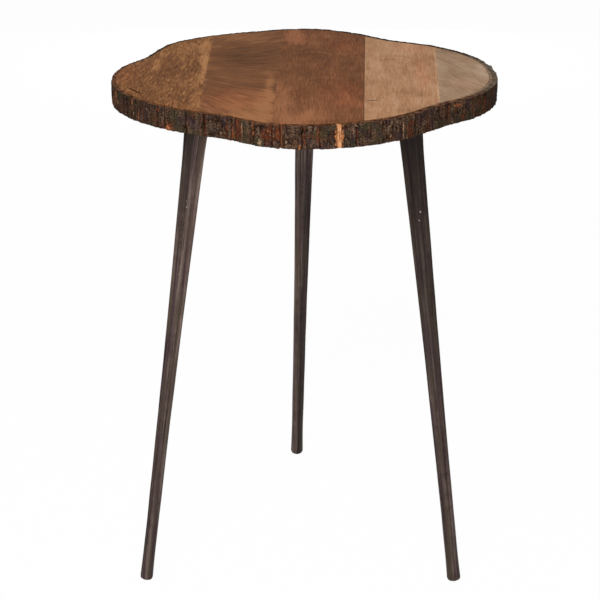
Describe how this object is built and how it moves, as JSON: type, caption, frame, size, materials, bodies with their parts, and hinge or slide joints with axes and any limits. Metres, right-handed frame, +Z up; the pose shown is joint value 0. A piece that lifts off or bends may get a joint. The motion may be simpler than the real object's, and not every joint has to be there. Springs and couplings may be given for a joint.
{
  "type": "accent table",
  "caption": "Small round accent table: a live-edge top of glued boards edged with bark strips, on splayed tapered cast-metal legs screwed up through round plates.",
  "frame": {"origin": "on the floor, under the centre of the table's box", "axes": "+Z up, -Y to the front, +X to the right seen from the front; the boards run along Y"},
  "size_m": [0.4383, 0.4437, 0.61],
  "materials": {
    "board_golden": "golden-brown board, satin clear coat",
    "board_umber": "dark brown board, satin clear coat",
    "board_russet": "reddish-brown board, satin clear coat",
    "board_peach": "pale peach-tan board, satin clear coat",
    "board_pale": "pale grey-tan board, satin clear coat",
    "bark": "raw dark grey-brown bark with reddish inner bark in its seams",
    "inner_bark": "raw orange-brown inner bark",
    "leg_metal": "cast, dark bronze-brown, lengthwise file marks",
    "plate_steel": "dark bronze paint",
    "screw_steel": "blackened zinc"
  },
  "bodies": {
    "root": {"top_board_1": "board_golden", "top_board_2": "board_umber", "top_board_3": "board_russet", "top_board_4": "board_peach", "top_board_5": "board_pale", "bark_strip_01": "bark", "bark_strip_02": "bark", "bark_strip_03": "bark", "bark_strip_04": "bark", "bark_strip_05": "bark", "bark_strip_06": "bark", "bark_strip_07": "bark", "bark_strip_08": "bark", "bark_strip_09": "bark", "bark_strip_10": "bark", "bark_strip_11": "bark", "bark_strip_12": "bark", "bark_strip_13": "bark", "bark_strip_14": "bark", "bark_strip_15": "bark", "bark_strip_16": "bark", "bark_strip_17": "bark", "bark_strip_18": "bark", "bark_strip_19": "bark", "bark_strip_20": "bark", "bark_strip_21": "bark", "bark_strip_22": "bark", "bark_strip_23": "bark", "bark_strip_24": "bark", "bark_strip_25": "bark", "bark_strip_26": "bark", "bark_strip_27": "bark", "bark_strip_28": "bark", "bark_strip_29": "bark", "bark_strip_30": "bark", "bark_strip_31": "bark", "bark_strip_32": "bark", "bark_strip_33": "bark", "bark_strip_34": "bark", "inner_bark_1": "inner_bark", "inner_bark_2": "inner_bark", "inner_bark_3": "inner_bark", "leg_front_left": "leg_metal", "leg_front_right": "leg_metal", "leg_rear": "leg_metal", "leg_plate_front_left": "plate_steel", "leg_plate_front_right": "plate_steel", "leg_plate_rear": "plate_steel", "plate_screw_front_left_1": "screw_steel", "plate_screw_front_left_2": "screw_steel", "plate_screw_front_left_3": "screw_steel", "plate_screw_front_right_1": "screw_steel", "plate_screw_front_right_2": "screw_steel", "plate_screw_front_right_3": "screw_steel", "plate_screw_rear_1": "screw_steel", "plate_screw_rear_2": "screw_steel", "plate_screw_rear_3": "screw_steel"}
  },
  "joints": []
}
